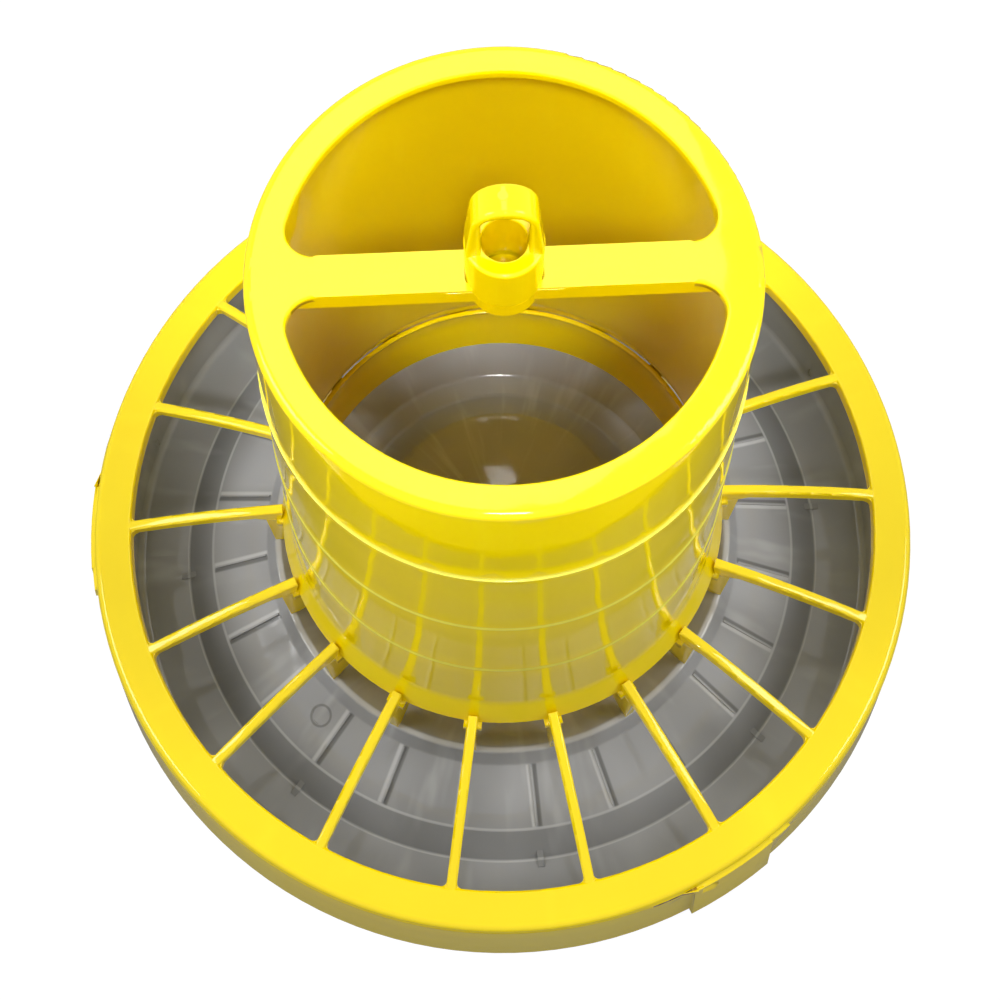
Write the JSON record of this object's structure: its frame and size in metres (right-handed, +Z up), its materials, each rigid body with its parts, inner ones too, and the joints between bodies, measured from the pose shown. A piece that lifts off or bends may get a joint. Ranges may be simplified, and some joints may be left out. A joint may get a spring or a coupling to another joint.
{
  "type": "poultry feeder",
  "caption": "Round hanging chick feeder: conical hopper barrel with crossbar eye, barred feeding ring with skirt, and a shallow round pan.",
  "frame": {"origin": "on the floor under the barrel's axis", "axes": "+Z up along the barrel's axis, +X along the crossbar"},
  "size_m": [0.3336, 0.3314, 0.2932],
  "materials": {
    "yellow_plastic": "glossy moulded polypropylene",
    "grey_plastic": "glossy moulded polypropylene"
  },
  "bodies": {
    "root": {"hopper_barrel": "yellow_plastic", "feeding_grille": "yellow_plastic", "feed_pan": "grey_plastic"}
  },
  "joints": []
}
